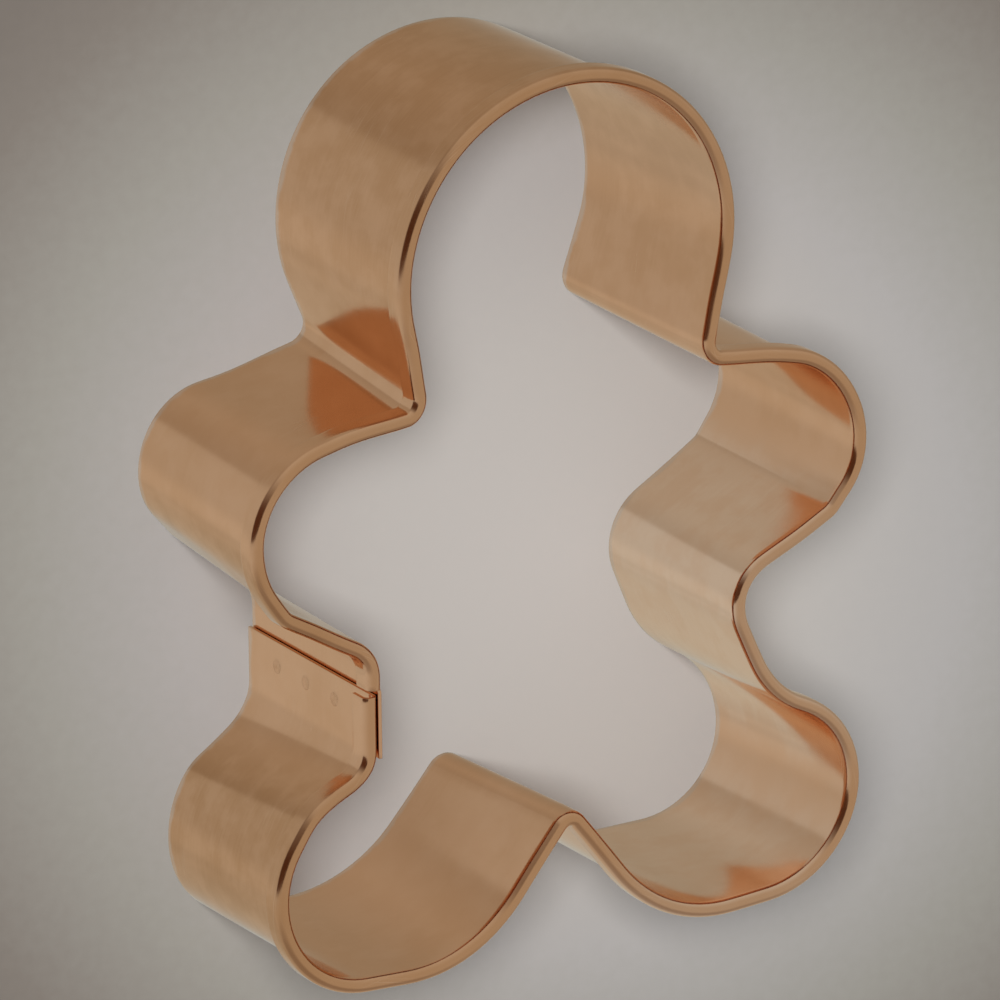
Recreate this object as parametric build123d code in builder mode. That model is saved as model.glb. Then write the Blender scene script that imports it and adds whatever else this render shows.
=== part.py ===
from build123d import *
from collections import namedtuple
from math import copysign, cos, radians, sin, tan
import os

# A cookie cutter in the shape of a plain figure, bent from one strip of thin sheet metal.
# The strip's free edge is the cutting edge. Its other edge is rolled outward into a safe rim to press on.
# The strip's two ends lap at the waist on the -X side, where they are spot welded together.
#
# The cutter stands on its cutting edge: that edge is at z = 0, the rim is on top, the head points to +Y.
# The origin is the middle of the figure's length and width, in the plane of the cutting edge.
# The outline is the inner face of the strip, so all of the metal lies outside it.

# Strip, in millimetres
sheet_thickness = 0.4
wall_height = 25.0
rim_hollow = 0.8
rim_return_height = 2.5

# Head and neck, with turns in degrees
head_radius = 17.6
head_turn = 107.8
cheek_run = 5.5
neck_rim_radius = 0.8
neck_turn = 98.0

# Arm
hand_radius = 8.1
hand_turn = 117.7
palm_run = 2.4
hand_tip_radius = 2.6
hand_tip_turn = 20.3
forearm_run = 8.3

# Waist
waist_upper_radius = 6.8
waist_upper_turn = 79.1
waist_run = 3.9
waist_lower_radius = 10.6
waist_lower_turn = 38.8
thigh_run = 1.2

# Leg and foot
leg_radius = 9.3
leg_turn = 148.3
heel_run = 4.4
foot_radius = 15.3
foot_turn = 52.4
inner_leg_run = 7.4
crotch_rim_radius = 0.6

# Lap of the strip's two ends
lap_set_out = 1.2
lap_bend_radius = 5.0
lap_lead_run = 2.0
lap_length = 6.6
lap_gap = 0.1
lap_edge_drop = 0.3
rim_notch_length = 0.6

# Spot welds through the lap
weld_diameter = 1.5
weld_count = 3
weld_inset = 2.6
weld_dimple_depth = 0.05

# Overrun of a cut past the metal on both sides
cut_overrun = 0.5

# The rim is a half tube with the strip's edge coming down behind it.
# In the sharp corners at neck and crotch the strip is bent round until the rim nearly closes on itself.
rim_depth = 2 * sheet_thickness + rim_hollow
rim_radius = rim_depth / 2
neck_radius = rim_depth + neck_rim_radius
crotch_radius = rim_depth + crotch_rim_radius
lap_thickness = 2 * sheet_thickness + lap_gap

# The strip's path is a chain of straight runs and bends, with positive turns to the left
Run = namedtuple("Run", "length")
Bend = namedtuple("Bend", "radius turn")


def step_along(distance, heading):
    """A step of the given distance along a heading in degrees from +X."""
    return Vector(distance * cos(radians(heading)), distance * sin(radians(heading)))


def step_to_centre(bend, heading):
    """The step from where a bend starts to its centre."""
    return step_along(copysign(bend.radius, bend.turn), heading + 90)


def walk(chain, point=Vector(0, 0), heading=0):
    """The point and the heading at the end of a chain."""
    for link in chain:
        if isinstance(link, Run):
            point = point + step_along(link.length, heading)
        else:
            centre = point + step_to_centre(link, heading)
            heading = heading + link.turn
            point = centre - step_to_centre(link, heading)
    return point, heading


def draw(chain, point, heading):
    """Draws a chain as lines and arcs, each tangent to the one before it."""
    for link in chain:
        if isinstance(link, Run):
            Line(point, point + step_along(link.length, heading))
        else:
            JernArc(start=point, tangent=step_along(1, heading), radius=link.radius, arc_size=link.turn)
        point, heading = walk([link], point, heading)


def arm(shoulder_run):
    """The chain from the cheek to the tip of the hand, clockwise."""
    neck = Bend(neck_radius, neck_turn)
    hand = Bend(hand_radius, -hand_turn)
    hand_tip = Bend(hand_tip_radius, -hand_tip_turn)
    return [Run(cheek_run), neck, Run(shoulder_run), hand, Run(palm_run), hand_tip]


# The rest of the right half, clockwise from the crown of the head to the crotch
half_head = Bend(head_radius, -head_turn)
waist = [
    Run(forearm_run),
    Bend(waist_upper_radius, waist_upper_turn),
    Run(waist_run),
    Bend(waist_lower_radius, waist_lower_turn),
    Run(thigh_run),
]
leg = [
    Bend(leg_radius, -leg_turn),
    Run(heel_run),
    Bend(foot_radius, -foot_turn),
    Run(inner_leg_run),
]

# The two halves meet smoothly at the crotch, on the centre line.
# The crotch bend makes up the turn that this takes, and the shoulder makes up the width.
crotch_heading = walk([half_head] + arm(0) + waist + leg)[1]
half_crotch = Bend(crotch_radius, -180 - crotch_heading)
centre_miss = walk([half_head] + arm(0) + waist + leg + [half_crotch])[0].X
shoulder = arm(-centre_miss / cos(radians(neck_turn - head_turn)))
head = Bend(head_radius, -2 * head_turn)
crotch = Bend(crotch_radius, 2 * half_crotch.turn)

# The crown stands half of the figure's length above the origin
with BuildLine() as right_half:
    draw([half_head] + shoulder + waist + leg + [half_crotch], Vector(0, 0), 0)
crown = Vector(0, right_half.line.bounding_box().size.Y / 2)

# On the -X side the strip runs straight through the lap, parallel to Y and set out from the waist.
# One bend brings it there from the forearm, and one from the thigh.
hand_end, forearm_heading = walk([half_head] + shoulder, crown)
leg_start, thigh_heading = walk([half_head] + shoulder + waist, crown)
upper_lap_turn = -90 - forearm_heading
lower_lap_turn = 90 + thigh_heading
narrowest = walk([Run(forearm_run), Bend(waist_upper_radius, upper_lap_turn)], hand_end, forearm_heading)[0]
inner_layer_x = -narrowest.X - lap_set_out
outer_layer_x = inner_layer_x - sheet_thickness - lap_gap

# Each bend lies in the corner between two straight runs, and takes the same length off both
upper_corner_run = -(hand_end.X + inner_layer_x) / cos(radians(forearm_heading))
upper_corner_y = hand_end.Y + upper_corner_run * sin(radians(forearm_heading))
upper_corner_cut = lap_bend_radius * tan(radians(upper_lap_turn / 2))
lower_corner_run = (leg_start.X + outer_layer_x) / cos(radians(thigh_heading))
lower_corner_y = leg_start.Y - lower_corner_run * sin(radians(thigh_heading))
lower_corner_cut = lap_bend_radius * tan(radians(lower_lap_turn / 2))

# Ends of the outer layer, of the inner layer and of the inner layer's rim
outer_end_y = upper_corner_y - upper_corner_cut - lap_lead_run
inner_end_y = outer_end_y - lap_length
rim_end_y = outer_end_y + rim_notch_length
rim_end = Vector(inner_layer_x, rim_end_y)

# The rimmed strip, from the end of the rim up the -X arm and clockwise round to the outer layer's end
rimmed_strip = (
    [Run(lap_lead_run - rim_notch_length)]
    + [Bend(lap_bend_radius, upper_lap_turn), Run(upper_corner_run - upper_corner_cut)]
    + shoulder[::-1]
    + [head]
    + shoulder
    + waist
    + leg
    + [crotch]
    + leg[::-1]
    + [Run(lower_corner_run - lower_corner_cut), Bend(lap_bend_radius, lower_lap_turn)]
    + [Run(outer_end_y - lower_corner_y - lower_corner_cut)]
)

# Square to the strip at the end of the rim: local X points out of the figure, local Y points up
rim_end_plane = Plane(origin=rim_end, x_dir=(-1, 0, 0), z_dir=(0, 1, 0))

# On the inner layer's face, looking out of the figure: local Y points up
weld_plane = Plane(
    origin=(inner_layer_x, outer_end_y - weld_inset, (wall_height - rim_return_height) / 2),
    x_dir=(0, -1, 0),
    z_dir=(-1, 0, 0),
)
weld_spacing = (wall_height - rim_return_height) / (weld_count + 1)


def weld_spots():
    """Circles in a row up the wall, evenly spaced between the cutting edge and the rolled edge."""
    with GridLocations(0, weld_spacing, 1, weld_count):
        Circle(weld_diameter / 2)


# Band: the wall and its rolled rim, which are one bent sheet
with BuildPart() as cutter_band:
    with BuildLine() as strip_path:
        draw(rimmed_strip, rim_end, 90)
    with BuildSketch(rim_end_plane):
        with BuildLine():
            roll_y = wall_height - rim_radius
            return_y = wall_height - rim_return_height
            Line((0, 0), (0, roll_y))
            roll_outside = CenterArc((rim_radius, roll_y), rim_radius, 180, -180)
            Line(roll_outside @ 1, (rim_depth, return_y))
            Line((rim_depth, return_y), (rim_depth - sheet_thickness, return_y))
            roll_inside = CenterArc((rim_radius, roll_y), rim_radius - sheet_thickness, 0, 180)
            Line((rim_depth - sheet_thickness, return_y), roll_inside @ 0)
            Line(roll_inside @ 1, (sheet_thickness, 0))
            Line((sheet_thickness, 0), (0, 0))
        make_face()
    sweep(path=strip_path.line)

    # Past the end of the rim, the plain wall carries on as the inner layer of the lap
    with BuildSketch(rim_end_plane):
        Rectangle(sheet_thickness, wall_height - lap_edge_drop, align=Align.MIN)
    extrude(amount=inner_end_y - rim_end_y)

    # The welds take the place of the metal that melted
    with BuildSketch(weld_plane.offset(-cut_overrun)):
        weld_spots()
    extrude(amount=lap_thickness + 2 * cut_overrun, mode=Mode.SUBTRACT)

# Spot welds: the fused metal that joins the two layers, slightly dished on both faces
with BuildPart() as spot_welds:
    with BuildSketch(weld_plane.offset(weld_dimple_depth)):
        weld_spots()
    extrude(amount=lap_thickness - 2 * weld_dimple_depth)

os.makedirs("parts", exist_ok=True)
cutter_band.part.label = "cutter_band"
export_step(cutter_band.part, "parts/cutter_band.step")
spot_welds.part.label = "spot_welds"
export_step(spot_welds.part, "parts/spot_welds.step")
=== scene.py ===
from math import ceil, cos, degrees, pi, radians, sin, tan

import bmesh
import bpy
from mathutils import Matrix, Vector, noise


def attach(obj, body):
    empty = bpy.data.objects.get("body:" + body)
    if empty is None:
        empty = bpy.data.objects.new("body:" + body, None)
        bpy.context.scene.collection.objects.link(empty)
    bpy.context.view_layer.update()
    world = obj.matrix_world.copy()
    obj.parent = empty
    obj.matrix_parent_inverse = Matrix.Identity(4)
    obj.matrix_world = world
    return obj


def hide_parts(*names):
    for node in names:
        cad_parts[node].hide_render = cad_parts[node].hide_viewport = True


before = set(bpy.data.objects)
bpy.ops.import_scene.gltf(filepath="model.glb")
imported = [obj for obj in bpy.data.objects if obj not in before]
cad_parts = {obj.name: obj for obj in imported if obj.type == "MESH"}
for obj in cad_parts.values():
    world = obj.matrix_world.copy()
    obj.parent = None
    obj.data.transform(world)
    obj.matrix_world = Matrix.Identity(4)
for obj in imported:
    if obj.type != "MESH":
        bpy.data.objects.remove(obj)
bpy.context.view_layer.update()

# Cutter band
# One strip of thin copper-plated steel, bent round formers to the figure's outline.
# Its upper edge is rolled outward into a safe rim, its lower edge is left thin to cut,
# and its two ends lap at the waist, where they are spot welded.
mm = 0.001
sheet_thickness = 0.4 * mm
wall_height = 25 * mm
roll_radius = 0.8 * mm
rim_return_height = 2.5 * mm
plain_end_drop = 0.3 * mm
edge_rounding = 0.07 * mm
longest_step = 0.9 * mm
widest_turn = radians(5)


def run(length):
    """A straight stretch of strip, in millimetres: its length and its turn."""
    return length * mm, 0


def bend(radius, turn):
    """A bend of a radius in millimetres, and degrees to the left: its length and its turn."""
    return radius * mm * abs(radians(turn)), radians(turn)


def toward(heading):
    """A step of one along a heading."""
    return Vector((cos(heading), sin(heading), 0))


def bend_centre(length, turn, point, heading):
    """The axis of the former that a bend goes round."""
    return point + toward(heading + pi / 2) * (length / turn)


def walk(chain, point, heading):
    """The point and the heading at the end of a chain of runs and bends."""
    for length, turn in chain:
        if turn:
            centre = bend_centre(length, turn, point, heading)
            heading = heading + turn
            point = centre - toward(heading + pi / 2) * (length / turn)
        else:
            point = point + toward(heading) * length
    return point, heading


# Half of the figure, clockwise from the crown of the head to the crotch, in millimetres and degrees.
# The crotch makes up the turn to the other half, and the shoulder makes up the width.
head_radius, head_turn = 17.6, 107.8
neck_radius, neck_turn = 2.4, 98
forearm_run, waist_radius = 8.3, 6.8
crotch_radius, half_crotch_turn = 2.2, 50.6


def arm(shoulder_run):
    """From the cheek to the tip of the hand."""
    neck, hand, hand_tip = bend(neck_radius, neck_turn), bend(8.1, -117.7), bend(2.6, -20.3)
    return [run(5.5), neck, run(shoulder_run), hand, run(2.4), hand_tip]


half_head = bend(head_radius, -head_turn)
waist = [run(forearm_run), bend(waist_radius, 79.1), run(3.9), bend(10.6, 38.8), run(1.2)]
leg = [bend(9.3, -148.3), run(4.4), bend(15.3, -52.4), run(7.4)]
half_figure = [half_head] + arm(0) + waist + leg + [bend(crotch_radius, half_crotch_turn)]
centre_miss = walk(half_figure, Vector(), 0)[0].x
shoulder = arm(-centre_miss / mm / cos(radians(neck_turn - head_turn)))
crown = Vector((0, 44.122 * mm, 0))

# The lap stands straight, set out from the waist on the -X side
lap_bend_radius = 5.0
lap_set_out = 1.2 * mm
lap_gap = 0.1 * mm
lap_lead_run = 2.0 * mm
lap_length = 6.6 * mm
rim_notch_length = 0.6 * mm
hand_end, forearm_heading = walk([half_head] + shoulder, crown, 0)
leg_start, thigh_heading = walk([half_head] + shoulder + waist, crown, 0)
upper_lap_turn = -pi / 2 - forearm_heading
lower_lap_turn = pi / 2 + thigh_heading
into_waist = [run(forearm_run), bend(waist_radius, degrees(upper_lap_turn))]
narrowest = walk(into_waist, hand_end, forearm_heading)[0]
inner_layer_x = -narrowest.x - lap_set_out
outer_layer_x = inner_layer_x - sheet_thickness - lap_gap
upper_corner_run = -(hand_end.x + inner_layer_x) / cos(forearm_heading)
upper_corner_y = hand_end.y + upper_corner_run * sin(forearm_heading)
upper_corner_cut = lap_bend_radius * mm * tan(upper_lap_turn / 2)
lower_corner_run = (leg_start.x + outer_layer_x) / cos(thigh_heading)
lower_corner_y = leg_start.y - lower_corner_run * sin(thigh_heading)
lower_corner_cut = lap_bend_radius * mm * tan(lower_lap_turn / 2)
outer_end_y = upper_corner_y - upper_corner_cut - lap_lead_run
inner_end_y = outer_end_y - lap_length
rim_end_y = outer_end_y + rim_notch_length
rimmed_strip = (
    [(lap_lead_run - rim_notch_length, 0)]
    + [bend(lap_bend_radius, degrees(upper_lap_turn)), (upper_corner_run - upper_corner_cut, 0)]
    + shoulder[::-1]
    + [bend(head_radius, -2 * head_turn)]
    + shoulder
    + waist
    + leg
    + [bend(crotch_radius, 2 * half_crotch_turn)]
    + leg[::-1]
    + [(lower_corner_run - lower_corner_cut, 0), bend(lap_bend_radius, degrees(lower_lap_turn))]
    + [(outer_end_y - lower_corner_y - lower_corner_cut, 0)]
)

# The sheet's face is drawn first, as a line up the strip's plain end that is carried along the strip
band = bmesh.new()
along = band.verts.layers.float.new("along")
across = band.verts.layers.float.new("across")
facing = band.verts.layers.float.new("facing")


def carry(geometry, travel, centre=(0, 0, 0), axis=(0, 0, 1), angle=0):
    """Draws vertices and edges out by a step or round an axis, and returns where they end."""
    drawn = bmesh.ops.spin(band, geom=geometry, cent=centre, axis=axis, dvec=travel, angle=angle, steps=1)
    return drawn["geom_last"]


def vertices(geometry):
    """The vertices among some geometry."""
    return [part for part in geometry if isinstance(part, bmesh.types.BMVert)]


def draw_strip(line, chain, point, heading, travelled):
    """Carries the line along a chain, in steps short enough to look round."""
    for vertex in vertices(line):
        vertex[facing] = heading + pi / 2
    for length, turn in chain:
        steps = ceil(max(length / longest_step, abs(turn) / widest_turn))
        for _ in range(steps):
            if turn:
                centre = bend_centre(length, turn, point, heading)
                line = carry(line, (0, 0, 0), centre, angle=turn / steps)
            else:
                line = carry(line, toward(heading) * length / steps)
            point, heading = walk([(length / steps, turn / steps)], point, heading)
            travelled += length / steps
            for vertex in vertices(line):
                vertex[along] = travelled
                vertex[facing] = heading + pi / 2
    return line, travelled


def raise_line(top, heights):
    """Draws a vertex up or down by heights, each a little further across the sheet."""
    for height in heights:
        reached = top[across] + abs(height)
        top = vertices(carry([top], (0, 0, height)))[0]
        top[across] = reached
    return top


plain_end = Vector((inner_layer_x, inner_end_y, 0))
foot = bmesh.ops.create_vert(band, co=plain_end)["vert"][0]
straight_height = wall_height - roll_radius
edge_row = 0.25 * mm
wall_rows = 15
row_height = (straight_height - 2 * edge_row) / wall_rows
wall_top = raise_line(foot, [edge_row] + [row_height] * wall_rows + [edge_row])
lip_height = wall_height - plain_end_drop - straight_height
raise_line(wall_top, [lip_height / 2] * 2)
line = list(band.verts) + list(band.edges)
roll_lead = 0.3 * mm
line, travelled = draw_strip(line, [(rim_end_y - inner_end_y - roll_lead, 0)], plain_end, pi / 2, 0)

# Where the rim starts, the top of the strip leans out into the roll, and the roll and its return
# go on from it
line, travelled = draw_strip(line, [(roll_lead, 0)], Vector(), pi / 2, travelled)
rim_end = Vector((inner_layer_x, rim_end_y, 0))
roll_axis = rim_end + Vector((-roll_radius, 0, straight_height))
top_vertices = sorted(vertices(line), key=lambda vertex: vertex.co.z)[-2:]
for vertex in top_vertices:
    lean = (vertex.co.z - straight_height) / roll_radius
    vertex.co = roll_axis + Vector((cos(lean), 0, sin(lean))) * roll_radius
rolled_so_far = lip_height / roll_radius
roll_steps = 10
rest_of_roll = (pi - rolled_so_far) / roll_steps
top = top_vertices[-1]
for _ in range(roll_steps):
    reached = top[across] + rest_of_roll * roll_radius
    top = vertices(carry([top], (0, 0, 0), roll_axis, (0, -1, 0), rest_of_roll))[0]
    top[across] = reached
return_run = rim_return_height - roll_radius
top = raise_line(top, [-(return_run - edge_row) / 2] * 2 + [-edge_row])
same_place = 1e-7
line = [vertex for vertex in band.verts if abs(vertex.co.y - rim_end_y) < same_place]
line += [edge for edge in band.edges if all(vertex in line for vertex in edge.verts)]
line, travelled = draw_strip(line, rimmed_strip, rim_end, pi / 2, travelled)

# Bent by hand round the formers, the wall leans a little here and there, fitted to the photo's edges. Each
# lean has its place along the strip and its reach, and the pushes that it gives the rim and the cutting edge,
# to +X and +Y.
leans = [
    (14, 6, (-0.1, -0.3), (0.1, 0.0)),
    (21, 9, (-0.5, -0.4), (0.3, 0.6)),
    (34, 17, (0.0, -0.7), (0.2, 0.4)),
    (53, 10, (-0.8, -0.8), (0.2, 0.7)),
    (95, 52, (1.4, -0.5), (-0.4, -0.1)),
    (137, 12, (1.0, -0.8), (-0.3, 0.1)),
    (158, 18, (-0.5, -1.3), (-1.1, -0.6)),
    (183, 13, (-0.7, 0.9), (-0.2, 0.2)),
    (208, 22, (0.3, 0.8), (0.1, -0.4)),
    (250, 20, (0.2, 0.8), (0.3, -0.5)),
    (291, 18, (0.3, 0.0), (0.9, -0.7)),
    (303, 6, (-0.9, 0.1), (-0.4, -0.6)),
]
waver_depth, waver_along, waver_up, waver_seed = 0.07 * mm, 11 * mm, 38 * mm, 4
waver_fade = 8 * mm
lap_clear = (12 * mm, 306 * mm)
for vertex in band.verts:
    height = min(1, vertex.co.z / (wall_height - rim_return_height))
    push = Vector((0, 0, 0))
    for place, reach, rim_push, edge_push in leans:
        away = abs(vertex[along] / mm - place) / reach
        if away < 1:
            share = 0.5 + 0.5 * cos(pi * away)
            push += Vector((*rim_push, 0)) * share * height + Vector((*edge_push, 0)) * share * (1 - height)
    from_lap = min(vertex[along] - lap_clear[0], lap_clear[1] - vertex[along])
    if from_lap > 0:
        spot = Vector((vertex[along] / waver_along, vertex.co.z / waver_up, waver_seed))
        ripple = (0.5 + 0.5 * noise.noise(spot)) * min(1, from_lap / waver_fade)
        push -= toward(vertex[facing]) * (waver_depth * ripple / mm)
    vertex.co += push * mm

# The sheet gets its thickness on the outside of the figure, and its cut edges are deburred.
# The side that it is drawn on becomes the inside of the roll, where dirt collects past a height.
bmesh.ops.recalc_face_normals(band, faces=band.faces)
band.faces.ensure_lookup_table()
if band.faces[0].normal.x < 0:
    bmesh.ops.reverse_faces(band, faces=band.faces)
figure_side = set(band.verts)
bmesh.ops.solidify(band, geom=list(band.faces), thickness=sheet_thickness)
hollow = band.verts.layers.float.new("hollow")
hollow_start, hollow_depth = 21.5 * mm, 2.5 * mm
for vertex in band.verts:
    if vertex in figure_side:
        vertex[hollow] = min(1, max(0, (vertex[across] - hollow_start) / hollow_depth))
sharp = [edge for edge in band.edges if edge.is_manifold and edge.calc_face_angle() > radians(50)]
bmesh.ops.bevel(
    band,
    geom=sharp,
    offset=edge_rounding,
    offset_type="OFFSET",
    segments=2,
    profile=0.5,
    affect="EDGES",
    material=-1,
)
for vertex in band.verts:
    vertex.co.z = max(0, vertex.co.z)

# The electrodes leave a row of shallow dimples up both faces of the lap, with a heat tint round each
weld_radius = 0.75 * mm
weld_inset = 2.6 * mm
weld_y = outer_end_y - weld_inset
weld_heights = [(wall_height - rim_return_height) * share / 4 for share in (1, 2, 3)]
dimple_radius = 1.3 * mm
dimple_depth = 0.07 * mm
heat_reach = 2.6 * mm
lap_reach = 4 * mm
on_face = 0.02 * mm
lap_faces = {inner_layer_x: -1, outer_layer_x - sheet_thickness: 1}


def beside_weld(place):
    """How far a place on the lap is from the middle of the nearest weld."""
    return min(Vector((place.y - weld_y, place.z - height)).length for height in weld_heights)


def weld_dish(distance):
    """How deep the dimple is at a distance from its middle."""
    return dimple_depth * (0.5 + 0.5 * cos(pi * min(1, distance / dimple_radius))) ** 1.5


heat = band.verts.layers.float.new("heat")
on_lap = [
    face
    for face in band.faces
    if any(abs(face.calc_center_median().x - x) < on_face for x in lap_faces)
    and abs(face.normal.x) > 0.99
    and beside_weld(face.calc_center_median()) < heat_reach
]
lap_edges = {edge for face in on_lap for edge in face.edges}
bmesh.ops.subdivide_edges(band, edges=list(lap_edges), cuts=4, use_grid_fill=True)
for vertex in band.verts:
    for x, inward in lap_faces.items():
        if abs(vertex.co.x - x) < on_face and abs(vertex.co.y - weld_y) < lap_reach:
            distance = beside_weld(vertex.co)
            vertex.co.x += inward * weld_dish(distance)
            vertex[heat] = max(0, 1 - distance / heat_reach)
for face in band.faces:
    face.smooth = True

band_mesh = bpy.data.meshes.new("band")
band.to_mesh(band_mesh)
band.free()
band_object = bpy.data.objects.new("band", band_mesh)
bpy.context.scene.collection.objects.link(band_object)


# Copper plating on rolled steel: grain along the strip, soft clouds of tarnish, smudges and fine scratches.
# Each effect is a node group, and the welds use the tarnish too.
def add_node(tree, kind, values=(), **settings):
    """Adds a node with its settings, and gives its inputs their numbers, colours or links."""
    node = tree.nodes.new("ShaderNode" + kind)
    for name, setting in settings.items():
        setattr(node, name, setting)
    for name, value in dict(values).items():
        if isinstance(value, bpy.types.NodeSocket):
            tree.links.new(value, node.inputs[name])
        else:
            node.inputs[name].default_value = value
    return node


def calculate(tree, operation, *values):
    """The result of a Math node."""
    return add_node(tree, "Math", enumerate(values), operation=operation).outputs[0]


def scaled(tree, vector, scale):
    """A vector multiplied by another, part by part."""
    return add_node(tree, "VectorMath", {0: vector, 1: scale}, operation="MULTIPLY").outputs[0]


def grey_noise(tree, vector, scale, detail=2.0, roughness=0.5):
    """A noise that varies evenly about a half."""
    values = {"Vector": vector, "Scale": scale, "Detail": detail, "Roughness": roughness}
    return add_node(tree, "TexNoise", values).outputs["Fac"]


def between(tree, value, low, high):
    """A soft step that is 0 up to the low value and 1 from the high one."""
    values = {"Value": value, "From Min": low, "From Max": high}
    return add_node(tree, "MapRange", values, interpolation_type="SMOOTHSTEP").outputs["Result"]


def fading(tree, value, low, high):
    """A soft step that is 1 up to the low value and 0 from the high one."""
    return calculate(tree, "SUBTRACT", 1.0, between(tree, value, low, high))


def blend(tree, share, first, second):
    """The second colour laid over the first by a share."""
    values = {"Factor": share, "A": first, "B": second}
    return add_node(tree, "Mix", values, data_type="RGBA").outputs["Result"]


def lay_over(tree, under, mask, strength, over):
    """A colour laid over another where a mask is, at some strength."""
    return blend(tree, calculate(tree, "MULTIPLY", mask, strength), under, over)


def read_ramp(tree, value, stops):
    """The colour at a value between stops, each a position and its colour."""
    node = add_node(tree, "ValToRGB", {"Fac": value})
    elements = node.color_ramp.elements
    while len(elements) < len(stops):
        elements.new(0.5)
    for element, (position, stop_colour) in zip(elements, stops):
        element.position = position
        element.color = stop_colour
    return node.outputs["Color"]


def effect_group(name, inputs, output):
    """A node group for an effect, with its inputs and the one mask or height that it puts out."""
    tree = bpy.data.node_groups.new(name, "ShaderNodeTree")
    for input_name, socket_type, value in inputs:
        socket = tree.interface.new_socket(input_name, in_out="INPUT", socket_type=socket_type)
        if value is not None:
            socket.default_value = value
    tree.interface.new_socket(output, in_out="OUTPUT", socket_type="NodeSocketFloat")
    return tree, tree.nodes.new("NodeGroupInput").outputs, tree.nodes.new("NodeGroupOutput").inputs[0]


def use_effect(tree, group, values):
    """An effect placed in a material with its own values."""
    return add_node(tree, "Group", values, node_tree=group).outputs[0]


# Rolling grain: long fine lines down the strip, in metres along it and across it
rolled_grain, given, put_out = effect_group(
    "rolled_grain",
    [
        ("Sheet", "NodeSocketVector", None),
        ("Line Length", "NodeSocketFloat", 0.02),
        ("Line Width", "NodeSocketFloat", 0.0002),
    ],
    "Height",
)
per_length = calculate(rolled_grain, "DIVIDE", 1.0, given["Line Length"])
per_width = calculate(rolled_grain, "DIVIDE", 1.0, given["Line Width"])
per_line = add_node(rolled_grain, "CombineXYZ", {"X": per_length, "Y": per_width, "Z": 1.0}).outputs[0]
grain_lines = grey_noise(rolled_grain, scaled(rolled_grain, given["Sheet"], per_line), 1.0, 3.0, 0.6)
rolled_grain.links.new(grain_lines, put_out)

# Tarnish: soft clouds with smaller ones inside them
tarnish, given, put_out = effect_group(
    "tarnish",
    [
        ("Position", "NodeSocketVector", None),
        ("Clouds", "NodeSocketFloat", 60.0),
        ("Cover", "NodeSocketFloat", 0.5),
    ],
    "Mask",
)
clouds = grey_noise(tarnish, given["Position"], given["Clouds"], 5.0, 0.55)
threshold = calculate(tarnish, "MULTIPLY_ADD", given["Cover"], -0.5, 0.75)
cloud_start = calculate(tarnish, "SUBTRACT", threshold, 0.13)
cloud_end = calculate(tarnish, "ADD", threshold, 0.13)
tarnish.links.new(between(tarnish, clouds, cloud_start, cloud_end), put_out)

# Scratches: short hairlines a little askew of the strip, one way and the other
hairlines, given, put_out = effect_group(
    "hairlines", [("Sheet", "NodeSocketVector", None), ("Share", "NodeSocketFloat", 0.3)], "Mask"
)
scratch_sets = []
for slant, length, width in ((9, 0.009, 0.00011), (-13, 0.007, 0.00009)):
    slanted = add_node(
        hairlines, "VectorRotate", {"Vector": given["Sheet"], "Angle": radians(slant)}, rotation_type="Z_AXIS"
    ).outputs[0]
    lines = grey_noise(hairlines, scaled(hairlines, slanted, (1 / length, 1 / width, 1)), 1.0, 0.0)
    scratch_sets.append(between(hairlines, lines, 0.71, 0.78))
here_and_there = between(hairlines, grey_noise(hairlines, given["Sheet"], 130.0), 0.45, 0.65)
scratched = calculate(hairlines, "MULTIPLY", calculate(hairlines, "MAXIMUM", *scratch_sets), here_and_there)
hairlines.links.new(calculate(hairlines, "MULTIPLY", scratched, given["Share"]), put_out)

plating = bpy.data.materials.new("copper_plating")
plating.use_nodes = True
tree = plating.node_tree
shader = tree.nodes["Principled BSDF"]
object_place = add_node(tree, "TexCoord").outputs["Object"]
along_strip = add_node(tree, "Attribute", attribute_name="along").outputs["Fac"]
across_strip = add_node(tree, "Attribute", attribute_name="across").outputs["Fac"]
in_hollow = add_node(tree, "Attribute", attribute_name="hollow").outputs["Fac"]
weld_heat = add_node(tree, "Attribute", attribute_name="heat").outputs["Fac"]
sheet_place = add_node(tree, "CombineXYZ", {"X": along_strip, "Y": across_strip}).outputs[0]

grain = use_effect(tree, rolled_grain, {"Sheet": sheet_place})
dull = use_effect(tree, tarnish, {"Position": object_place, "Clouds": 55.0, "Cover": 0.5})
fine_dull = use_effect(tree, tarnish, {"Position": object_place, "Clouds": 260.0, "Cover": 0.45})
smudges = use_effect(tree, tarnish, {"Position": sheet_place, "Clouds": 95.0, "Cover": 0.3})
scratches = use_effect(tree, hairlines, {"Sheet": sheet_place, "Share": 0.8})

# Worn paler along the cutting edge, browner on top of the roll as a painted dark reflection, and dirty in the
# rim's hollow
ragged = calculate(tree, "MULTIPLY_ADD", fine_dull, 0.4 * mm, 0.2 * mm)
edge_wear = fading(tree, calculate(tree, "SUBTRACT", across_strip, ragged), 0.0, 0.5 * mm)
up_to_roll = between(tree, across_strip, 24.3 * mm, 25.2 * mm)
roll_painted_dark = calculate(tree, "MULTIPLY", up_to_roll, fading(tree, across_strip, 25.6 * mm, 26.6 * mm))
dirt = calculate(tree, "MULTIPLY", in_hollow, calculate(tree, "MULTIPLY_ADD", fine_dull, 0.35, 0.55))
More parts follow.
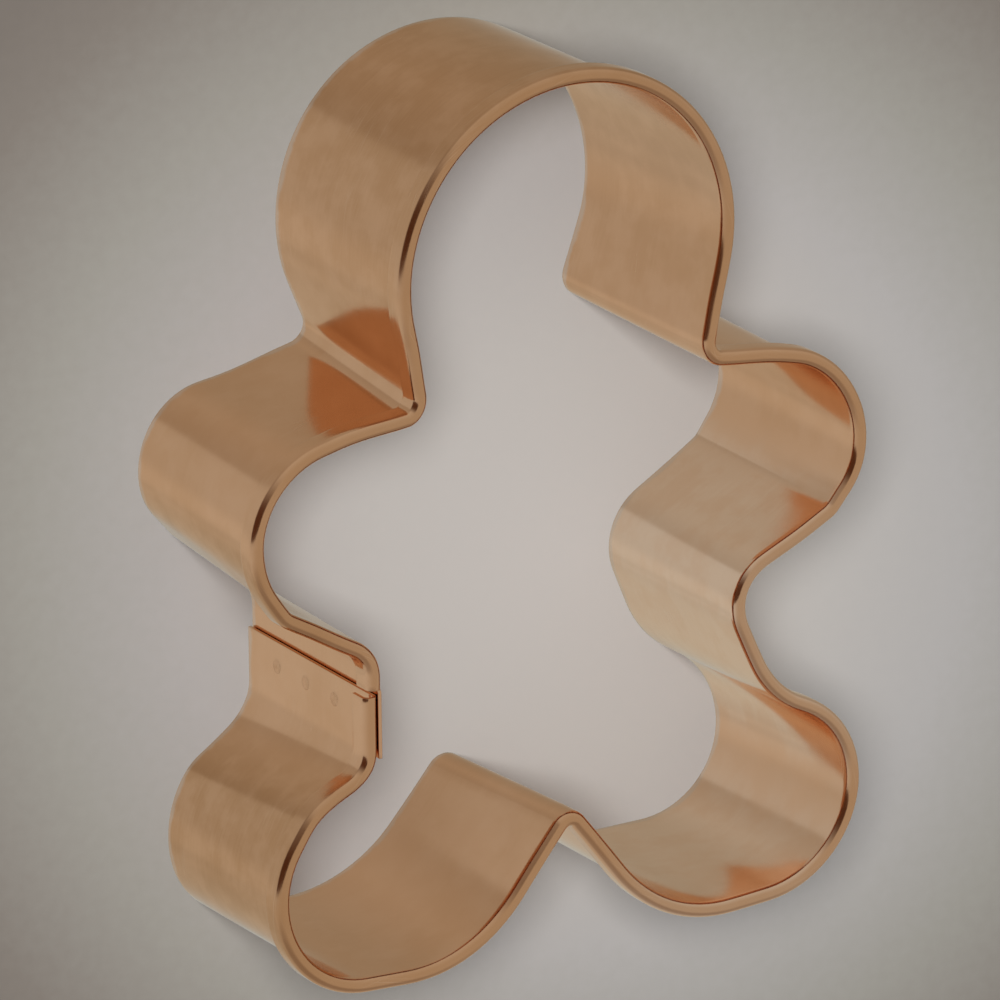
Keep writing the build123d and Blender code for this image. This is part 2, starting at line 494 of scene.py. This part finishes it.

# The plating is painted paler in some places round the outline and browner in others: painted bright and dark
# reflections, partly the plating's own tone. They follow the photo's tones. Each place has its middle, the
# distances to where it is full and to where it is gone, all in millimetres, and its strength.
painted_bright_places = [(28, -19, 11.5, 19.5, 1), (18, -43, 8, 18, 1), (15.5, 37, 5, 13, 0.6)]
painted_dark_places = [(-37, -33, 9.5, 17, 1), (0, 36, 14, 30, 0.8), (-34, -6, 5, 9.5, 1)]
outline_place = scaled(tree, object_place, (1, 1, 0))


def painted_reflection_share(places):
    """How strongly the painted reflection shows, by the strongest of some places."""
    strongest = 0.0
    for x, y, full, gone, strength in places:
        middle = (x * mm, y * mm, 0)
        away = add_node(tree, "VectorMath", {0: outline_place, 1: middle}, operation="DISTANCE")
        ragged_away = calculate(tree, "MULTIPLY_ADD", fine_dull, 0.8 * mm, away.outputs["Value"])
        reflection_here = calculate(tree, "MULTIPLY", fading(tree, ragged_away, full * mm, gone * mm), strength)
        strongest = calculate(tree, "MAXIMUM", strongest, reflection_here)
    return strongest


# Heat tint round each weld: straw, then brown, then violet grey nearest the weld
tint_stops = [
    (0.0, (0.76, 0.385, 0.21, 1)),
    (0.45, (0.72, 0.37, 0.18, 1)),
    (0.62, (0.50, 0.21, 0.11, 1)),
    (0.75, (0.39, 0.18, 0.14, 1)),
    (1.0, (0.46, 0.25, 0.18, 1)),
]
heat_tint = read_ramp(tree, weld_heat, tint_stops)
heated = between(tree, weld_heat, 0.3, 0.8)

fresh, browned, pale = (0.76, 0.385, 0.21, 1), (0.70, 0.34, 0.17, 1), (0.82, 0.44, 0.255, 1)
colour = lay_over(tree, fresh, dull, 0.7, browned)
# Painted bright reflection, partly the plating's own tone: paler copper laid over the paler places
colour = lay_over(tree, colour, painted_reflection_share(painted_bright_places), 0.9, (0.93, 0.61, 0.43, 1))
# Painted dark reflection, partly the plating's own tone: browner copper laid over the darker places
colour = lay_over(tree, colour, painted_reflection_share(painted_dark_places), 0.9, (0.55, 0.255, 0.115, 1))
colour = lay_over(tree, colour, fine_dull, 0.3, pale)
colour = blend(tree, calculate(tree, "MULTIPLY_ADD", grain, 0.5, -0.1), colour, pale)
# Painted dark reflection: the top of the roll is laid browner
colour = lay_over(tree, colour, roll_painted_dark, 0.75, (0.56, 0.25, 0.11, 1))
colour = lay_over(tree, colour, edge_wear, 0.5, (0.70, 0.52, 0.42, 1))
colour = lay_over(tree, colour, scratches, 0.35, (0.86, 0.52, 0.34, 1))
colour = blend(tree, dirt, colour, (0.22, 0.11, 0.055, 1))
colour = lay_over(tree, colour, heated, 0.4, heat_tint)
tree.links.new(colour, shader.inputs["Base Color"])
metal_edge_tint = (1.0, 0.88, 0.74, 1)
shader.inputs["Specular Tint"].default_value = metal_edge_tint

satin = calculate(tree, "MULTIPLY_ADD", grain, 0.04, 0.12)
satin = calculate(tree, "MULTIPLY_ADD", dull, 0.03, satin)
satin = calculate(tree, "MULTIPLY_ADD", smudges, 0.07, satin)
satin = calculate(tree, "MULTIPLY_ADD", scratches, 0.1, satin)
satin = calculate(tree, "MULTIPLY_ADD", weld_heat, 0.12, satin)
satin = calculate(tree, "MULTIPLY_ADD", dirt, 0.35, satin)
tree.links.new(satin, shader.inputs["Roughness"])
tree.links.new(calculate(tree, "MULTIPLY_ADD", dirt, -0.5, 1.0), shader.inputs["Metallic"])

relief = calculate(tree, "MULTIPLY_ADD", scratches, -0.5, calculate(tree, "MULTIPLY", grain, 0.6))
relief = calculate(tree, "MULTIPLY_ADD", grey_noise(tree, object_place, 900.0, 2.0), 0.35, relief)
bumps = add_node(tree, "Bump", {"Strength": 0.25, "Distance": 0.00002, "Height": relief})
tree.links.new(bumps.outputs["Normal"], shader.inputs["Normal"])

band_mesh.materials.append(plating)
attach(band_object, "root")
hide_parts("cutter_band")

# Spot welds
# Three nuggets of the strip's own metal, melted together through both layers of the lap.
# The electrodes press them a little hollow, and the heat leaves them dull and greyish.
nugget_proud = 0.012 * mm
nugget_spread = 1.02
lap_middle_x = (inner_layer_x + outer_layer_x - sheet_thickness) / 2
half_lap = abs(inner_layer_x - lap_middle_x)
welds = bmesh.new()
from_middle = welds.verts.layers.float.new("from_middle")
for height in weld_heights:
    # Half of a nugget's section, out from the middle of one face and round its rim to the other's middle
    face_line = []
    for share in (0, 0.3, 0.55, 0.78, 0.93, 1):
        radius = share * weld_radius
        face_line.append((radius, half_lap - weld_dish(radius) + nugget_proud))
    face_line[-1] = (weld_radius * nugget_spread, face_line[-1][1] - 2 * nugget_proud)
    section = face_line + [(radius, -depth) for radius, depth in reversed(face_line)]
    corners = []
    for radius, depth in section:
        corner = welds.verts.new((lap_middle_x + depth, weld_y, height + radius))
        corner[from_middle] = radius
        corners.append(corner)
    lines = [welds.edges.new(pair) for pair in zip(corners, corners[1:])]
    bmesh.ops.spin(
        welds,
        geom=corners + lines,
        cent=(lap_middle_x, weld_y, height),
        axis=(1, 0, 0),
        angle=2 * pi,
        steps=32,
        use_merge=True,
    )
bmesh.ops.remove_doubles(welds, verts=welds.verts, dist=0.001 * mm)
bmesh.ops.dissolve_degenerate(welds, edges=welds.edges, dist=0.0005 * mm)
bmesh.ops.recalc_face_normals(welds, faces=welds.faces)
for face in welds.faces:
    face.smooth = True
weld_mesh = bpy.data.meshes.new("weld_nuggets")
welds.to_mesh(weld_mesh)
welds.free()
weld_object = bpy.data.objects.new("weld_nuggets", weld_mesh)
bpy.context.scene.collection.objects.link(weld_object)

weld_metal = bpy.data.materials.new("weld_metal")
weld_metal.use_nodes = True
tree = weld_metal.node_tree
shader = tree.nodes["Principled BSDF"]
object_place = add_node(tree, "TexCoord").outputs["Object"]
out_from_middle = add_node(tree, "Attribute", attribute_name="from_middle").outputs["Fac"]
burnt = use_effect(tree, tarnish, {"Position": object_place, "Clouds": 1500.0, "Cover": 0.5})
ring = between(tree, out_from_middle, 0.0004, 0.0008)
colour = lay_over(tree, (0.75, 0.38, 0.21, 1), burnt, 0.6, (0.66, 0.33, 0.17, 1))
colour = lay_over(tree, colour, ring, 0.25, (0.54, 0.27, 0.15, 1))
tree.links.new(colour, shader.inputs["Base Color"])
shader.inputs["Metallic"].default_value = 1
shader.inputs["Specular Tint"].default_value = metal_edge_tint
tree.links.new(calculate(tree, "MULTIPLY_ADD", burnt, 0.1, 0.2), shader.inputs["Roughness"])
pitted = grey_noise(tree, object_place, 4000.0, 3.0)
bumps = add_node(tree, "Bump", {"Strength": 0.35, "Distance": 0.00003, "Height": pitted})
tree.links.new(bumps.outputs["Normal"], shader.inputs["Normal"])
weld_mesh.materials.append(weld_metal)
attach(weld_object, "root")
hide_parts("spot_welds")

# Floor
# A pale board that goes on past the view and catches the cutter's shadow. Its colour is a painted pool of
# light: it darkens away from the cutter in a stretched pool, fitted to the photo's floor, because the lamp
# alone falls off too little.
# The metal doesn't mirror the board, but the light tent beyond it.
floor_mesh = bpy.data.meshes.new("floor")
floor = bmesh.new()
bmesh.ops.create_grid(floor, x_segments=1, y_segments=1, size=3)
floor.to_mesh(floor_mesh)
floor.free()
floor_object = bpy.data.objects.new("floor", floor_mesh)
bpy.context.scene.collection.objects.link(floor_object)
board = bpy.data.materials.new("floor_board")
board.use_nodes = True
tree = board.node_tree
board_shader = tree.nodes["Principled BSDF"]
board_place = add_node(tree, "TexCoord").outputs["Object"]
pool_place = add_node(
    tree,
    "Mapping",
    {
        "Vector": board_place,
        "Location": (0.016, -0.014, 0),
        "Rotation": (0, 0, radians(146.3)),
        "Scale": (1.2, 1, 1),
    },
    vector_type="TEXTURE",
).outputs[0]
from_pool = add_node(tree, "VectorMath", {0: pool_place}, operation="LENGTH").outputs["Value"]
speckle = calculate(tree, "MULTIPLY_ADD", grey_noise(tree, board_place, 700.0, 3.0), 0.04, -0.02)
# Painted pool of light: the board's colour is palest in the middle of the pool and darkens outward
painted_pool_stops = [
    (0.0, (0.62, 0.587, 0.558, 1)),
    (0.2, (0.573, 0.548, 0.52, 1)),
    (0.4, (0.489, 0.469, 0.455, 1)),
    (0.55, (0.372, 0.354, 0.318, 1)),
    (0.7, (0.248, 0.218, 0.19, 1)),
    (0.77, (0.215, 0.187, 0.163, 1)),
]
painted_pool_colour = read_ramp(tree, calculate(tree, "MULTIPLY_ADD", from_pool, 10.0, speckle), painted_pool_stops)
tree.links.new(painted_pool_colour, board_shader.inputs["Base Color"])
board_shader.inputs["Roughness"].default_value = 0.9
board_shader.inputs["Specular IOR Level"].default_value = 0.1
see_through = tree.nodes.new("ShaderNodeBsdfTransparent")
seen_by = tree.nodes.new("ShaderNodeLightPath").outputs
mirrored = calculate(tree, "MAXIMUM", seen_by["Is Glossy Ray"], seen_by["Is Transmission Ray"])
either = tree.nodes.new("ShaderNodeMixShader")
tree.links.new(mirrored, either.inputs["Fac"])
tree.links.new(board_shader.outputs["BSDF"], either.inputs[1])
tree.links.new(see_through.outputs["BSDF"], either.inputs[2])
tree.links.new(either.outputs["Shader"], tree.nodes["Material Output"].inputs["Surface"])
floor_mesh.materials.append(board)

# Light
# A pale, slightly cool light tent. Its panels differ in brightness all round, and its open side, behind the
# camera, is dark. They are set so that each wall mirrors about what it does in the photo.
# A soft lamp beside the camera lights the floor.
world = bpy.data.worlds.new("light_tent")
bpy.context.scene.world = world
world.use_nodes = True
tree = world.node_tree
cool, warm = (0.92, 1.09, 1.14), (0.99, 1.09, 1.05)


def tent_white(brightness, tint):
    """The tent's white at a brightness and with a tint."""
    return (*(part * brightness for part in tint), 1)


direction = add_node(tree, "TexCoord").outputs["Generated"]
axes = add_node(tree, "SeparateXYZ", {"Vector": direction}).outputs
bearing = calculate(tree, "ARCTAN2", axes["Y"], axes["X"])
round_share = calculate(tree, "MULTIPLY_ADD", bearing, 0.5 / pi, 0.5)
# Each panel edge round the foot of the tent has its bearing in degrees, its brightness and its tint
low_tent = [
    (-180, 0.56, cool),
    (-170, 0.57, cool),
    (-158, 0.63, cool),
    (-142, 0.63, cool),
    (-137, 0.56, cool),
    (-131, 0.56, cool),
    (-129, 0.61, cool),
    (-126, 0.61, cool),
    (-123, 0.55, cool),
    (-110, 0.57, cool),
    (-95, 0.59, cool),
    (-70, 0.56, cool),
    (-55, 0.52, cool),
    (-32, 0.46, warm),
    (-10, 0.40, warm),
    (20, 0.37, warm),
    (60, 0.41, warm),
    (90, 0.45, warm),
    (110, 0.43, warm),
    (134, 0.40, warm),
    (137, 0.56, cool),
    (150, 0.57, cool),
]
tent_stops = [((panel + 180) / 360, tent_white(brightness, tint)) for panel, brightness, tint in low_tent]
low_panels = read_ramp(tree, round_share, tent_stops)

# Higher up the tent is even, but for a dull fold low on its far side
up_share = calculate(tree, "MULTIPLY_ADD", axes["Z"], 0.5, 0.5)
high_tent = between(tree, up_share, 0.38, 0.6)
fold_place = (cos(radians(-95)), sin(radians(-95)), 0.15)
fold = add_node(tree, "VectorMath", {0: direction, 1: fold_place}, operation="DOT_PRODUCT").outputs["Value"]
off_fold = between(tree, fold, cos(radians(58)), cos(radians(30)))
high_light = blend(tree, off_fold, tent_white(0.63, cool), (0.38, 0.42, 0.43, 1))
all_round = blend(tree, high_tent, low_panels, high_light)

# The dark open side, at a bearing of 150 degrees, ends sharply on the left and fades to the right
opening_view = add_node(
    tree, "VectorRotate", {"Vector": direction, "Angle": radians(-150)}, rotation_type="Z_AXIS"
).outputs[0]
opening_axes = add_node(tree, "SeparateXYZ", {"Vector": opening_view}).outputs
off_middle = calculate(tree, "ARCTAN2", opening_axes["Y"], opening_axes["X"])
right_edge = between(tree, off_middle, radians(-34), radians(10))
left_edge = fading(tree, off_middle, radians(37), radians(40))
across_opening = calculate(tree, "MULTIPLY", right_edge, left_edge)
lower_edge = between(tree, axes["Z"], sin(radians(-28)), sin(radians(-12)))
upper_edge = fading(tree, axes["Z"], sin(radians(62)), sin(radians(76)))
up_opening = calculate(tree, "MULTIPLY", lower_edge, upper_edge)
in_opening = calculate(tree, "MULTIPLY", across_opening, up_opening)
tent = blend(tree, in_opening, all_round, (0.10, 0.055, 0.035, 1))
lights_up = tree.nodes.new("ShaderNodeLightPath").outputs["Is Diffuse Ray"]
lit = blend(tree, lights_up, tent, (0.27, 0.27, 0.27, 1))
tree.links.new(lit, tree.nodes["Background"].inputs["Color"])

lamp_data = bpy.data.lights.new("soft_lamp", "AREA")
lamp_data.size = 0.4
lamp_data.energy = 19.0
lamp = bpy.data.objects.new("soft_lamp", lamp_data)
lamp.location = (-0.74, 0.49, 1.26)
lamp.rotation_euler = (-lamp.location).to_track_quat("-Z", "Y").to_euler()
lamp.visible_glossy = False
bpy.context.scene.collection.objects.link(lamp)

# Camera
# Close to square on from above the head's left side, through a long lens.
camera_data = bpy.data.cameras.new("camera")
camera_data.sensor_width = 36
camera_data.lens = 517.62
camera_data.clip_start = 0.1
camera_data.clip_end = 20
camera = bpy.data.objects.new("camera", camera_data)
camera_place = Vector((-0.683707, 0.455918, 1.169542))
aim = (Vector((-0.000248, -0.002059, 0.0125)) - camera_place).normalized()
level_up = (Vector((0, 1, 0)) - aim * aim.y).normalized()
level_right = aim.cross(level_up)
camera_roll = radians(0.698)
up = level_up * cos(camera_roll) + level_right * sin(camera_roll)
right = aim.cross(up)
camera_turn = Matrix((right, up, -aim)).transposed()
camera.matrix_world = Matrix.Translation(camera_place) @ camera_turn.to_4x4()
bpy.context.scene.collection.objects.link(camera)
bpy.context.scene.camera = camera
bpy.context.scene.view_settings.view_transform = "Standard"
